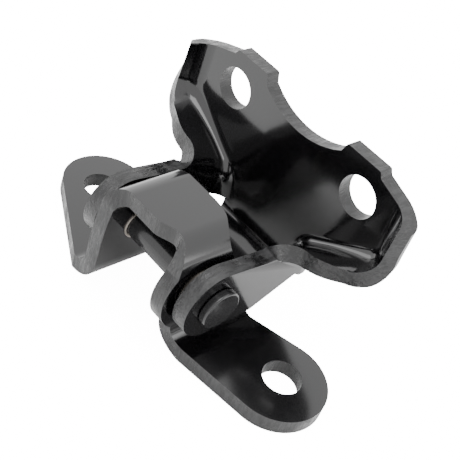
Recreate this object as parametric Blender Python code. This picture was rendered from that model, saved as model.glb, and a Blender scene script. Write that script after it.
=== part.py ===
"""Pressed-steel vehicle door hinge.

Two bent leaves of thick sheet turn on one headed pin. The strap leaf is a hat: a web over two legs,
with a foot turned out from each leg that bolts to the door. The body leaf is a dished plate that
bolts to the body, with two ears that carry the pin outside the legs. A flanged bush sits in each leg.

Every piece is drawn about the pin axis, which runs along X through the middle of the strap leaf.
Y points from the pin to the plate and Z from the feet to the web. An empty on the pin axis carries
the pieces, and stands so that the feet rest on Z = 0 with the origin under the middle of the hinge.
"""
import math

import bmesh
import bpy
from mathutils import Vector

MM = 0.001

# Sheet and fits
SHEET = 5.0 * MM
RUNNING_GAP = 0.08 * MM
SIDE_GAP = 0.25 * MM

# Pin
PIN_R = 4.3 * MM
HEAD_R = 6.3 * MM
HEAD_THICK = 2.3 * MM
HEAD_CHAMFER = 0.6 * MM
TAIL_R = 5.7 * MM
TAIL_THICK = 1.8 * MM
TAIL_CHAMFER = 0.9 * MM

# Flanged bushes
BUSH_WALL = 0.6 * MM
FLANGE_R = 7.6 * MM
FLANGE_THICK = 0.9 * MM
BUSH_STAND_IN = 0.4 * MM

# Strap leaf
LEG_IN = 11.9 * MM
WEB_TOP_Z = 16.8 * MM
FOOT_TOP_Z = -16.7 * MM
WEB_BEND_R = 3.5 * MM
FOOT_BEND_R = 5.0 * MM
LOBE_R = 13.85 * MM
LOBE_SHARE = 0.9
LEFT_LEG_NEAR_Y = -12.6 * MM
LEFT_LEG_TOP_Y = -11.6 * MM
LEFT_LEG_EASE_Z = -3.0 * MM
WEB_NEAR_Y = -8.9 * MM
WEB_FAR_Y = 11.9 * MM
WEB_WAIST_X = 1.5 * MM
WEB_RELIEF = 2.4 * MM
WEB_FAR_FALL = 1.3 * MM
BEND_RELIEF = 2.4 * MM
RIGHT_LEG_FAR_Y = 9.2 * MM
FOOT_ROOT_FAR_Y = 21.4 * MM
FOOT_HOLE_X = 43.7 * MM
FOOT_HOLE_Y = 14.2 * MM
FOOT_HOLE_R = 6.0 * MM
# How full the curves of the wing's edge are, each as shares of the curve's own span
NECK_FULLNESS = (0.5, 0.6)
FLANK_FULLNESS = (0.45, 0.3)
TIP_FULLNESS = ((0.55, 0.4, 0.15), (0.0, 0.1, 0.5))
# Where the fold tightens from the ear's radius to the wing's, as shares of its length
TIGHTEN_FROM = 0.15
TIGHTEN_OVER = 0.3
# Coat and metal colours
E_COAT = (0.012, 0.012, 0.013)
PIN_STEEL = (0.06, 0.06, 0.062)
BUSH_METAL = (0.42, 0.38, 0.34)
# Each foot: end arc centre and radius, and where its near edge leaves the leg
RIGHT_FOOT = {"x": 43.4 * MM, "y": 12.8 * MM, "r": 15.0 * MM, "near_y": -5.8 * MM}
LEFT_FOOT = {"x": 44.4 * MM, "y": 16.2 * MM, "r": 14.0 * MM, "near_y": -11.8 * MM}

# Body leaf
BOSS_R = 11.15 * MM
PLATE_Y = 40.4 * MM
PLATE_HOLE_X = 26.5 * MM
PLATE_HOLE_Z = 28.1 * MM
PLATE_HOLE_R = 6.5 * MM
FOLD_R = 6.0 * MM
WING_FOLD_R = 3.4 * MM
WING_FOLD_X = 41.4 * MM
WING_EDGE_X = 44.4 * MM
EAR_BOTTOM_Y = 16.9 * MM
EAR_BOTTOM_Z = -9.9 * MM
EAR_ROOT_Z = -1.4 * MM
EAR_TOP_Y = 16.0 * MM
EAR_TOP_Z = 9.3 * MM
EAR_FOOT_Z = -6.9 * MM
EAR_SEAM_Y = 32.6 * MM
SEAM_RISE = 1.5 * MM
FOLD_CORNER_Z = 2.6 * MM
FOLD_CORNER_R = 7.0 * MM
WING_CORNER_Z = 17.9 * MM
WING_TIP_Z = 22.0 * MM
WING_CORNER_R = 6.0 * MM
NECK_Y = 19.8 * MM
WING_DEPTH = 12.9 * MM
TIP_DEPTH = 5.6 * MM
TIP_DRAW_IN = 1.2 * MM
# The squeezed edge of the wing: where it starts, how far it takes to come in, and how the edge slants
SQUEEZE_Z = 15.0 * MM
SQUEEZE_X = 42.4 * MM
SQUEEZE_OVER_Z = 6.0 * MM
SQUEEZE_OVER_X = 2.0 * MM
SQUEEZED_OUT = 0.52
SQUEEZED_BACK = 0.62
WING_EDGE_Z = 12.3 * MM
NECK_REACH = 9.4 * MM
EDGE_CORNER = 4.8 * MM
EDGE_RISE = 3.7 * MM
EDGE_LIFT = 2.3 * MM
LIP_Z = -8.4 * MM
LIP_R = 6.0 * MM
LIP_FLAT = 3.4 * MM
LIP_CORNER_R = 3.0 * MM
TONGUE_CLEAR = 2.6 * MM
RELIEF = 0.5 * MM
TAB_TOP_Z = 39.8 * MM
TAB_OUTER_X = 29.6 * MM
TAB_STEP = 1.8 * MM
NOTCH_HALF = 15.8 * MM
NOTCH_BOTTOM_Z = 31.6 * MM
NOTCH_SIDE_Z = 36.6 * MM
TAB_LEAN = 1.0 * MM
TAB_CORNER_R = 0.7 * MM
SHOULDER_Z = 31.8 * MM
SHOULDER_R = 6.0 * MM

# Drawing resolution
ARC_STEP = math.radians(9)
ROUND_SIDES = 64
FOLD_STEPS = 8
WALL_STEPS = 3
WELD = 0.01 * MM
BIG = 100.0 * MM
OVER = 1.0 * MM

# Sizes that follow from the ones above
LEG_OUT = LEG_IN + SHEET
EAR_IN = LEG_OUT + SIDE_GAP + FLANGE_THICK + SIDE_GAP
EAR_OUT = EAR_IN + SHEET
FOOT_BASE_Z = FOOT_TOP_Z - SHEET
BUSH_BORE_R = PIN_R + RUNNING_GAP
BUSH_R = BUSH_BORE_R + BUSH_WALL
LEG_HOLE_R = BUSH_R + RUNNING_GAP
EAR_HOLE_R = PIN_R + RUNNING_GAP
PLATE_BACK_Y = PLATE_Y + SHEET
NEAREST_Y = -max(LOBE_R, BOSS_R)
TONGUE_HALF = EAR_IN - TONGUE_CLEAR
TONGUE_TOP_Z = EAR_FOOT_Z - RELIEF
BLANK_TOP_Z = TAB_TOP_Z + 4 * OVER
AXIS_IN_WORLD = Vector((0.0, -(NEAREST_Y + PLATE_BACK_Y) / 2, -FOOT_BASE_Z))


# ---------------------------------------------------------------- outlines

def arc(centre, radius, start, end):
    """Points on an arc, both ends included, a step of at most ARC_STEP apart."""
    count = max(2, math.ceil(abs(end - start) / ARC_STEP))
    angles = [start + (end - start) * i / count for i in range(count + 1)]
    return [(centre[0] + radius * math.cos(a), centre[1] + radius * math.sin(a)) for a in angles]


def round_corners(corners):
    """Closed outline from corners (u, v, radius), each rounded by its own radius."""
    outline = []
    for i, (u, v, radius) in enumerate(corners):
        here = Vector((u, v))
        if radius == 0:
            outline.append((u, v))
            continue
        before = (Vector(corners[i - 1][:2]) - here).normalized()
        after = (Vector(corners[(i + 1) % len(corners)][:2]) - here).normalized()
        half = before.angle(after) / 2
        centre = here + (before + after).normalized() * radius / math.sin(half)
        reach = radius / math.tan(half)
        first = here + before * reach - centre
        last = here + after * reach - centre
        start = math.atan2(first.y, first.x)
        turn = math.remainder(math.atan2(last.y, last.x) - start, 2 * math.pi)
        outline += arc(centre, radius, start, start + turn)
    return outline


def tangent_angle(point, centre, radius, side):
    """Angle on a circle where a line from the point touches it; side is +1 or -1."""
    offset = Vector(point) - Vector(centre)
    return math.atan2(offset.y, offset.x) + side * math.acos(radius / offset.length)


def bezier(a, b, c, d, count):
    """Points along a cubic curve, without its first one."""
    points = []
    for i in range(1, count + 1):
        t = i / count
        s = 1 - t
        points.append(a * s ** 3 + b * 3 * s * s * t + c * 3 * s * t * t + d * t ** 3)
    return points


# ---------------------------------------------------------------- solids

def add_object(name, bm):
    """Put a bmesh in the scene as a named object."""
    mesh = bpy.data.meshes.new(name)
    bm.normal_update()
    bm.to_mesh(mesh)
    bm.free()
    obj = bpy.data.objects.new(name, mesh)
    bpy.context.scene.collection.objects.link(obj)
    return obj


def prism(name, outline, axis, low, high):
    """Closed solid: an outline in the plane across an axis, drawn out from low to high along it."""
    places = {"X": lambda u, v, w: (w, u, v), "Y": lambda u, v, w: (u, w, v), "Z": lambda u, v, w: (u, v, w)}
    place = places[axis]
    bm = bmesh.new()
    base = bm.faces.new([bm.verts.new(place(u, v, low)) for u, v in outline])
    top = bmesh.ops.extrude_face_region(bm, geom=[base])
    moved = [item for item in top["geom"] if isinstance(item, bmesh.types.BMVert)]
    bmesh.ops.translate(bm, verts=moved, vec=Vector(place(0, 0, high - low)))
    bmesh.ops.recalc_face_normals(bm, faces=bm.faces)
    return add_object(name, bm)


def rod(name, radius, axis, centre, low, high):
    """Closed round rod along an axis; centre is its place across that axis."""
    step = 2 * math.pi / ROUND_SIDES
    circle = [(centre[0] + radius * math.cos(i * step), centre[1] + radius * math.sin(i * step))
              for i in range(ROUND_SIDES)]
    return prism(name, circle, axis, low, high)


def turned(name, profile):
    """Closed solid turned about X from a profile of (x, radius) pairs; a ring when it never meets X."""
    bm = bmesh.new()
    rings = []
    for i in range(ROUND_SIDES):
        a = 2 * math.pi * i / ROUND_SIDES
        rings.append([bm.verts.new((x, r * math.cos(a), r * math.sin(a))) for x, r in profile])
    for i, ring in enumerate(rings):
        after = rings[(i + 1) % ROUND_SIDES]
        for j in range(len(profile) - 1):
            bm.faces.new((ring[j], ring[j + 1], after[j + 1], after[j]))
    if profile[0] == profile[-1]:
        bmesh.ops.remove_doubles(bm, verts=bm.verts, dist=WELD)
    else:
        bm.faces.new([ring[0] for ring in rings])
        bm.faces.new([ring[-1] for ring in rings])
    bmesh.ops.recalc_face_normals(bm, faces=bm.faces)
    return add_object(name, bm)


def cut(obj, cutter, operation="DIFFERENCE"):
    """Cut one object by another, which is then only a guide."""
    cutter.hide_render = True
    cutter.display_type = "WIRE"
    modifier = obj.modifiers.new("cut_" + cutter.name, "BOOLEAN")
    modifier.operation = operation
    modifier.solver = "EXACT"
    modifier.object = cutter


def paint(obj, name, colour, roughness, metallic):
    """Give an object its own Principled material."""
    material = bpy.data.materials.new(name)
    material.use_nodes = True
    shader = material.node_tree.nodes["Principled BSDF"]
    shader.inputs["Base Color"].default_value = (*colour, 1.0)
    shader.inputs["Roughness"].default_value = roughness
    shader.inputs["Metallic"].default_value = metallic
    obj.data.materials.append(material)


def shade(obj):
    """Smooth round faces, with sharp edges kept."""
    obj.data.shade_smooth()
    obj.data.set_sharp_from_angle(angle=math.radians(30))


# ---------------------------------------------------------------- strap leaf

def mix(a, b, t):
    """Straight mix of two values."""
    return a + (b - a) * t


def ease(a, b, t):
    """Mix of two values that starts and ends level."""
    return mix(a, b, t * t * (3 - 2 * t))


def foot_stations(foot, side):
    """Places along one foot from its bend to its tip: (x, z, near edge, far edge) of the top face."""
    root_x = LEG_OUT + FOOT_BEND_R
    centre = (foot["x"], foot["y"])
    near_root = (root_x, foot["near_y"])
    far_root = (root_x, FOOT_ROOT_FAR_Y)
    near_angle = tangent_angle(near_root, centre, foot["r"], 1) % (2 * math.pi) - 2 * math.pi
    far_angle = tangent_angle(far_root, centre, foot["r"], -1)
    xs = [root_x, foot["x"] + foot["r"] * math.cos(near_angle), foot["x"] + foot["r"] * math.cos(far_angle)]
    xs += [x for x, _ in arc(centre, foot["r"], min(near_angle, -far_angle), 0)[1:]]
    stations = []
    for x in sorted(xs):
        edges = []
        for root, angle, sign in ((near_root, near_angle, -1), (far_root, far_angle, 1)):
            touch = (centre[0] + foot["r"] * math.cos(angle), centre[1] + foot["r"] * math.sin(angle))
            if x <= touch[0]:
                edges.append(mix(root[1], touch[1], (x - root[0]) / (touch[0] - root[0])))
            else:
                rise = math.sqrt(max(0, foot["r"] ** 2 - (x - centre[0]) ** 2))
                edges.append(centre[1] + sign * rise)
        stations.append((side * x, FOOT_TOP_Z, edges[0], edges[1]))
    return stations


def bend_stations(centre, radius, start, end, near, far, dip=0.0):
    """Places round one bend; near and far are pairs of edge values, at its start and its end.

    The far edge is drawn in by dip half way round.
    """
    places = arc(centre, radius, start, end)
    last = len(places) - 1
    stations = []
    for i, (x, z) in enumerate(places):
        t = i / last
        far_y = ease(*far, t) - dip * math.sin(math.pi * t)
        stations.append((x, z, ease(*near, t), far_y))
    return stations[1:-1]


def leg_far(top_y, z):
    """Far edge of a leg, straight from its top to the foot."""
    root_z = FOOT_TOP_Z + FOOT_BEND_R
    top_z = WEB_TOP_Z - WEB_BEND_R - SHEET
    return mix(FOOT_ROOT_FAR_Y, top_y, (z - root_z) / (top_z - root_z))


def right_leg_stations():
    """Places up the outside of the right leg, whose near edge is a lobe round the pin."""
    root_z = FOOT_TOP_Z + FOOT_BEND_R
    top_z = WEB_TOP_Z - WEB_BEND_R - SHEET
    below, above = (math.asin(min(height / LOBE_R, LOBE_SHARE)) for height in (-root_z, top_z))
    edge = arc((0, 0), LOBE_R, math.pi + below, math.pi - above)
    if edge[0][1] - root_z > OVER:
        edge.insert(0, (edge[0][0], root_z))
    if top_z - edge[-1][1] > OVER:
        edge.append((edge[-1][0], top_z))
    return [(LEG_OUT, z, y, leg_far(RIGHT_LEG_FAR_Y, z)) for y, z in edge]


def left_leg_stations():
    """Places up the outside of the left leg, whose near edge is straight and leans back near its top."""
    root_z = FOOT_TOP_Z + FOOT_BEND_R
    top_z = WEB_TOP_Z - WEB_BEND_R - SHEET
    edge = [(LEFT_LEG_NEAR_Y, root_z), (LEFT_LEG_NEAR_Y, LEFT_LEG_EASE_Z), (LEFT_LEG_TOP_Y, top_z)]
    return [(-LEG_OUT, z, y, leg_far(WEB_FAR_Y, z)) for y, z in edge]


def web_stations():
    """Places across the top of the web, drawn in at both edges toward the right bend."""
    half = LEG_OUT - WEB_BEND_R - SHEET
    stations = [(-half, WEB_TOP_Z, WEB_NEAR_Y, WEB_FAR_Y)]
    for i in range(FOLD_STEPS + 1):
        t = i / FOLD_STEPS
        near_y = ease(WEB_NEAR_Y, WEB_NEAR_Y + WEB_RELIEF, t)
        far_y = WEB_FAR_Y - WEB_FAR_FALL * t * t
        stations.append((mix(WEB_WAIST_X, half, t), WEB_TOP_Z, near_y, far_y))
    return stations


def strap_stations():
    """All places along the outside of the strap leaf, from the left foot's tip to the right foot's."""
    foot_x = LEG_OUT + FOOT_BEND_R
    foot_z = FOOT_TOP_Z + FOOT_BEND_R
    web_r = WEB_BEND_R + SHEET
    web_x = LEG_OUT - web_r
    web_z = WEB_TOP_Z - web_r
    quarter = math.pi / 2
    left_foot = foot_stations(LEFT_FOOT, -1)[::-1]
    left_leg = left_leg_stations()
    web = web_stations()
    right_leg = right_leg_stations()[::-1]
    right_foot = foot_stations(RIGHT_FOOT, 1)

    def joined(before, after, centre, radius, start, end, **shape):
        near = (before[-1][2], after[0][2])
        far = (before[-1][3], after[0][3])
        return bend_stations(centre, radius, start, end, near, far, **shape)

    return (
        left_foot
        + joined(left_foot, left_leg, (-foot_x, foot_z), FOOT_BEND_R, -quarter, 0)
        + left_leg
        + joined(left_leg, web, (-web_x, web_z), web_r, 2 * quarter, quarter)
        + web
        + joined(web, right_leg, (web_x, web_z), web_r, quarter, 0, dip=BEND_RELIEF)
        + right_leg
        + joined(right_leg, right_foot, (foot_x, foot_z), FOOT_BEND_R, 2 * quarter, 3 * quarter)
        + right_foot
    )


def thicken(obj):
    """Give a drawn face its sheet thickness, away from the side it faces."""
    modifier = obj.modifiers.new("sheet", "SOLIDIFY")
    modifier.thickness = SHEET
    modifier.offset = -1
    modifier.use_even_offset = True
    modifier.use_quality_normals = True


def build_strap_bracket():
    """Strap leaf: one strip of sheet bent to a hat, with a hole in each foot and each leg."""
    bm = bmesh.new()
    rows = []
    for x, z, near, far in strap_stations():
        row = [bm.verts.new((x, near, z))]
        if far - near > OVER:
            row.append(bm.verts.new((x, far, z)))
        rows.append(row)
    for before, after in zip(rows, rows[1:]):
        bm.faces.new(after + before[::-1])
    obj = add_object("strap_bracket", bm)
    thicken(obj)
    for side, name in ((-1, "left"), (1, "right")):
        place = (side * FOOT_HOLE_X, FOOT_HOLE_Y)
        low = FOOT_BASE_Z - OVER
        cut(obj, rod("foot_hole_" + name, FOOT_HOLE_R, "Z", place, low, FOOT_TOP_Z + OVER))
        reach = sorted((side * (LEG_IN - OVER), side * (LEG_OUT + OVER)))
        cut(obj, rod("bush_hole_" + name, LEG_HOLE_R, "X", (0, 0), *reach))
    return obj


# ---------------------------------------------------------------- body leaf

def fold_path():
    """Line where the plate folds forward, right side, from the ear's root up past the wing's tip.

    Each place is a point and its outward direction, both in the plane of the plate (x, z). The list
    is in five parts: ear, ear corner, diagonal, wing corner and wing tip.
    """
    ear_corner = Vector((EAR_IN, FOLD_CORNER_Z))
    wing_corner = Vector((WING_FOLD_X, WING_CORNER_Z))
    slope = (wing_corner - ear_corner).normalized()
    turn = Vector((0, 1)).angle(slope)
    ear_reach = FOLD_CORNER_R * math.tan(turn / 2)
    wing_reach = WING_CORNER_R * math.tan(turn / 2)
    ear_end = ear_corner - Vector((0, ear_reach))
    wing_start = wing_corner + Vector((0, wing_reach))

    def straight(a, b):
        along = (b - a).normalized()
        outward = Vector((along.y, -along.x))
        return [(a.lerp(b, i / FOLD_STEPS), outward) for i in range(FOLD_STEPS + 1)]

    def bent(centre, radius, start, end, sign):
        places = []
        for i in range(FOLD_STEPS + 1):
            angle = mix(start, end, i / FOLD_STEPS)
            ray = Vector((math.cos(angle), math.sin(angle)))
            places.append((centre + ray * radius, ray * sign))
        return places

    ear_centre = ear_end + Vector((FOLD_CORNER_R, 0))
    wing_centre = wing_start - Vector((WING_CORNER_R, 0))
    return [
        straight(Vector((EAR_IN, EAR_FOOT_Z)), ear_end),
        bent(ear_centre, FOLD_CORNER_R, math.pi, math.pi - turn, -1),
        straight(ear_corner + slope * ear_reach, wing_corner - slope * wing_reach),
        bent(wing_centre, WING_CORNER_R, -turn, 0, 1),
        straight(wing_start, Vector((WING_FOLD_X, BLANK_TOP_Z))),
    ]


def wall_edge():
    """Front edge of the right wall, matched place for place to fold_path, and in the same parts.

    By the ear it is the line where the wall meets the flat of the ear. Past the neck it is the free
    edge of the wing.
    """
    half = FOLD_STEPS // 2
    slant = (EAR_ROOT_Z - EAR_BOTTOM_Z) / (PLATE_Y - FOLD_R - EAR_BOTTOM_Y)
    seam_low = EAR_ROOT_Z - slant * (PLATE_Y - FOLD_R - EAR_SEAM_Y)
    seam_high = fold_path()[0][-1][0].y + SEAM_RISE
    ear = [Vector((EAR_IN, EAR_SEAM_Y, mix(seam_low, seam_high, i / FOLD_STEPS))) for i in range(FOLD_STEPS + 1)]
    neck_start = Vector((EAR_IN, NECK_Y, EAR_TOP_Z))
    neck_end = Vector((EAR_IN + NECK_REACH, PLATE_Y - WING_DEPTH, WING_EDGE_Z))
    corner_start = Vector((WING_EDGE_X - EDGE_CORNER, PLATE_Y - WING_DEPTH + EDGE_RISE, WING_EDGE_Z + EDGE_LIFT))
    tip_start = Vector((WING_EDGE_X, PLATE_Y - TIP_DEPTH, WING_TIP_Z))
    tip_end = Vector((WING_EDGE_X, PLATE_Y - TIP_DEPTH + TIP_DRAW_IN, BLANK_TOP_Z))
    ridge = [ear[-1].lerp(neck_start, i / half) for i in range(half + 1)]
    forward = Vector((0, neck_end.y - neck_start.y, 0)) * NECK_FULLNESS[0]
    sideways = Vector((neck_end.x - neck_start.x, 0, 0)) * NECK_FULLNESS[1]
    neck = bezier(neck_start, neck_start + forward, neck_end - sideways, neck_end, FOLD_STEPS)
    rise = corner_start - neck_end
    level = Vector((rise.x, 0, rise.z)) * FLANK_FULLNESS[0]
    shared = FOLD_STEPS - half
    flank = bezier(neck_end, neck_end + level, corner_start - rise * FLANK_FULLNESS[1], corner_start, shared)
    turned_up = tip_start - corner_start
    leaving, arriving = (Vector([a * b for a, b in zip(turned_up, share)]) for share in TIP_FULLNESS)
    corner = bezier(corner_start, corner_start + leaving, tip_start - arriving, tip_start, FOLD_STEPS)
    tip = [tip_start.lerp(tip_end, i / FOLD_STEPS) for i in range(FOLD_STEPS + 1)]
    return [ear, ridge + neck[:shared], neck[shared - 1:] + flank, [flank[-1]] + corner, tip]


def fold_radius(share):
    """Inner radius of the fold at a share of its length: round beside the ear, tighter along the wing."""
    return ease(FOLD_R, WING_FOLD_R, clamp((share - TIGHTEN_FROM) / TIGHTEN_OVER))


def wall_row(place, outward, end, radius):
    """Points from the flat of the plate round the fold and straight on to the edge of the wall."""
    start = place - outward * radius
    begin = Vector((start.x, PLATE_Y, start.y))
    knee = Vector((place.x, PLATE_Y, place.y))
    fold_end = knee + (end - knee).normalized() * radius
    row = []
    for i in range(FOLD_STEPS + 1):
        angle = math.pi / 2 * i / FOLD_STEPS
        row.append(begin + (knee - begin) * math.sin(angle) + (fold_end - knee) * (1 - math.cos(angle)))
    return row + [fold_end.lerp(end, i / WALL_STEPS) for i in range(1, WALL_STEPS + 1)]


def joined_parts(parts):
    """One list from parts that each repeat the last place of the part before."""
    return parts[0] + [place for part in parts[1:] for place in part[1:]]


def ear_flat():
    """Outline of the flat of the right ear: boss, arm and the edge it shares with the wall."""
    top = (EAR_TOP_Y, EAR_TOP_Z)
    bottom = (EAR_BOTTOM_Y, EAR_BOTTOM_Z)
    top_angle = tangent_angle(top, (0, 0), BOSS_R, 1)
    bottom_angle = tangent_angle(bottom, (0, 0), BOSS_R, -1) + 2 * math.pi
    boss = arc((0, 0), BOSS_R, top_angle, bottom_angle)
    outline = [Vector((EAR_IN, y, z)) for y, z in [top] + boss + [bottom]]
    ear, corner = wall_edge()[:2]
    return outline + ear + corner[1:FOLD_STEPS // 2 + 1]


def trim_outline():
    """Outline above which the blank is cut away: a hollow between two tabs, and sloping shoulders."""
    sag = NOTCH_SIDE_Z - NOTCH_BOTTOM_Z
    notch_r = (NOTCH_HALF ** 2 + sag ** 2) / (2 * sag)
    spread = math.asin(NOTCH_HALF / notch_r)
    down = -math.pi / 2
    hollow = arc((0, NOTCH_BOTTOM_Z + notch_r), notch_r, down - spread, down + spread)
    outer_x = WING_EDGE_X + SHEET
    low_z = SHOULDER_Z - 2 * SHOULDER_R
    side = [
        (NOTCH_HALF + TAB_LEAN, TAB_TOP_Z, TAB_CORNER_R),
        (TAB_OUTER_X, TAB_TOP_Z, TAB_CORNER_R),
        (TAB_OUTER_X + TAB_LEAN, TAB_TOP_Z - TAB_STEP, TAB_CORNER_R),
        (outer_x, SHOULDER_Z, SHOULDER_R),
        (outer_x + OVER, low_z, 0),
        (BIG, low_z, 0),
        (BIG, BIG, 0),
    ]
    mirrored = [(-x, z, radius) for x, z, radius in reversed(side)]
    return round_corners(mirrored + [(x, z, 0) for x, z in hollow] + side)


def clamp(value):
    return min(1, max(0, value))


def through_sheet(point, normal):
    """Way from a point of the drawn face to the back of the sheet, for one thickness.

    It is square to the sheet, except along the free edge of a wing's tip, where the press squeezes
    the short flange and the edge slants back.
    """
    side = math.copysign(1, point.x)
    up = clamp((point.z - SQUEEZE_Z) / SQUEEZE_OVER_Z)
    out = clamp((abs(point.x) - SQUEEZE_X) / SQUEEZE_OVER_X)
    folded = point.y < PLATE_Y - OVER
    return (-normal).lerp(Vector((side * SQUEEZED_OUT, SQUEEZED_BACK, 0)), up * out * folded)


def close_sheet(bm):
    """Give the drawn face its back and its edges, one sheet thickness through."""
    bm.normal_update()
    faces = list(bm.faces)
    border = [(loop.vert, loop.link_loop_next.vert) for face in faces for loop in face.loops if loop.edge.is_boundary]
    back = {}
    for vert in list(bm.verts):
        back[vert] = bm.verts.new(vert.co + through_sheet(vert.co, vert.normal) * SHEET)
    for face in faces:
        bm.faces.new([back[vert] for vert in reversed(face.verts)])
    for first, then in border:
        bm.faces.new((then, first, back[first], back[then]))


def build_body_bracket():
    """Body leaf: a plate whose sides fold forward into wings and ears, with a lip along its bottom."""
    bm = bmesh.new()
    fold = joined_parts(fold_path())
    edge = joined_parts(wall_edge())
    radii = [fold_radius(i / len(fold)) for i in range(len(fold))]
    flat_side = [place - outward * radius for (place, outward), radius in zip(fold, radii)]
    lip_end_y = PLATE_Y - LIP_R - LIP_FLAT
    for side in (1, -1):
        rows = []
        for (place, outward), end, radius in zip(fold, edge, radii):
            row = wall_row(place, outward, end, radius)
            rows.append([bm.verts.new((side * point.x, point.y, point.z)) for point in row])
        for before, after in zip(rows, rows[1:]):
            for j in range(len(before) - 1):
                bm.faces.new((before[j], before[j + 1], after[j + 1], after[j]))
        bm.faces.new([bm.verts.new((side * point.x, point.y, point.z)) for point in ear_flat()])
    tongue = TONGUE_HALF
    notch = flat_side[0].x
    plate = [(tongue, LIP_Z), (tongue, TONGUE_TOP_Z), (notch, TONGUE_TOP_Z)]
    plate += [(place.x, place.y) for place in flat_side]
    plate += [(-x, z) for x, z in reversed(plate)]
    bm.faces.new([bm.verts.new((x, PLATE_Y, z)) for x, z in plate])
    bend = [(PLATE_Y - LIP_R * (1 - math.cos(a)), LIP_Z - LIP_R * math.sin(a))
            for a in (math.pi / 2 * j / FOLD_STEPS for j in range(FOLD_STEPS + 1))]
    for (y, z), (next_y, next_z) in zip(bend, bend[1:]):
        corners = ((-tongue, y, z), (tongue, y, z), (tongue, next_y, next_z), (-tongue, next_y, next_z))
        bm.faces.new([bm.verts.new(corner) for corner in corners])
    lip_y = PLATE_Y - LIP_R
    lip = round_corners([
        (-tongue, lip_y, 0),
        (-tongue, lip_end_y, LIP_CORNER_R),
        (tongue, lip_end_y, LIP_CORNER_R),
        (tongue, lip_y, 0),
    ])
    bm.faces.new([bm.verts.new((x, y, LIP_Z - LIP_R)) for x, y in lip])
    bmesh.ops.remove_doubles(bm, verts=bm.verts, dist=WELD)
    bmesh.ops.recalc_face_normals(bm, faces=bm.faces)
    widest = max(bm.faces, key=lambda face: face.calc_area())
    if widest.normal.y > 0:
        bmesh.ops.reverse_faces(bm, faces=bm.faces)
    close_sheet(bm)
    obj = add_object("body_bracket", bm)
    cut(obj, prism("top_trim", trim_outline(), "Y", 0, BIG))
    for side, name in ((-1, "left"), (1, "right")):
        place = (side * PLATE_HOLE_X, PLATE_HOLE_Z)
        cut(obj, rod("plate_hole_" + name, PLATE_HOLE_R, "Y", place, PLATE_Y - OVER, PLATE_BACK_Y + OVER))
    cut(obj, rod("pin_hole", EAR_HOLE_R, "X", (0, 0), -EAR_OUT - OVER, EAR_OUT + OVER))
    return obj


# ---------------------------------------------------------------- pin and bushes

def build_pin():
    """Headed pin: flat head outside the right ear, tail peened over outside the left ear."""
    seat = EAR_OUT + SIDE_GAP
    tail = -seat - TAIL_THICK
    head = seat + HEAD_THICK
    return turned("hinge_pin", [
        (tail, TAIL_R - TAIL_CHAMFER),
        (tail + TAIL_CHAMFER, TAIL_R),
        (-seat, TAIL_R),
        (-seat, PIN_R),
        (seat, PIN_R),
        (seat, HEAD_R),
        (head - HEAD_CHAMFER, HEAD_R),
        (head, HEAD_R - HEAD_CHAMFER),
    ])


def build_bush(name, side):
    """Flanged bush of one leg: its flange spaces the leg from the ear, its bore turns on the pin."""
    inner = LEG_IN - BUSH_STAND_IN
    under = LEG_OUT + SIDE_GAP
    face = under + FLANGE_THICK
    profile = [
        (inner, BUSH_BORE_R),
        (inner, BUSH_R),
        (under, BUSH_R),
        (under, FLANGE_R),
        (face, FLANGE_R),
        (face, BUSH_BORE_R),
        (inner, BUSH_BORE_R),
    ]
    return turned(name, [(side * x, r) for x, r in profile])


# ---------------------------------------------------------------- the hinge

def clear_scene():
    for obj in list(bpy.data.objects):
        bpy.data.objects.remove(obj, do_unlink=True)


def main():
    clear_scene()
    axis = bpy.data.objects.new("pin_axis", None)
    bpy.context.scene.collection.objects.link(axis)
    axis.location = AXIS_IN_WORLD
    strap = build_strap_bracket()
    paint(strap, "strap_e_coat", E_COAT, 0.3, 0.0)
    body = build_body_bracket()
    paint(body, "body_e_coat", E_COAT, 0.28, 0.0)
    pin = build_pin()
    paint(pin, "pin_steel", PIN_STEEL, 0.35, 0.6)
    bushes = [build_bush("bush_left", -1), build_bush("bush_right", 1)]
    for bush in bushes:
        paint(bush, "bush_metal_" + bush.name, BUSH_METAL, 0.4, 0.8)
    for obj in [strap, body, pin] + bushes:
        shade(obj)
    for obj in bpy.data.objects:
        if obj is not axis:
            obj.parent = axis


main()
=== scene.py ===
# %% [markdown]
# # A pressed-steel vehicle door hinge
#
# This hinge is two stampings, one pin and two flanged bushes. Both leaves are blanked from 5 mm steel
# sheet and bent in a press, so almost every shape below is a flat face, a bend of one radius, or a
# sheared edge. The strap leaf is a hat: a web over two legs with a foot turned out from each. The plate
# leaf is a dish whose sides fold forward into wings and two ears. The pin passes through the ears, the
# legs and the bushes pressed in the legs. The finishes are mixed first, then the parts are built and
# coated, and last the studio is set up round them.

import math

import bmesh
import bpy
from mathutils import Matrix, Vector


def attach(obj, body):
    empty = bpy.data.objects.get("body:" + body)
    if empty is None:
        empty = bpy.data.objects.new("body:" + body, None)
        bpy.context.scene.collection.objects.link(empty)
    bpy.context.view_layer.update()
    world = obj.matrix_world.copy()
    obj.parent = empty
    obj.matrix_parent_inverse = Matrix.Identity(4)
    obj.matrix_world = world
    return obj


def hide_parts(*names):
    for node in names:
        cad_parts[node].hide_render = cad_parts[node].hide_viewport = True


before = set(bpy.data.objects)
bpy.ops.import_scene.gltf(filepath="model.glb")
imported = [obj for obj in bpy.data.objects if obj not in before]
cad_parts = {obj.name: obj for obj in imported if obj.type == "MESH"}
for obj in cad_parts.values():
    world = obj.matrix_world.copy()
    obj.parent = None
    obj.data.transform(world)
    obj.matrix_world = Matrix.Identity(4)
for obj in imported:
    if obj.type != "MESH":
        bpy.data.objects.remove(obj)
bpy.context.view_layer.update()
print("solid model:", sorted(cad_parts))

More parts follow.
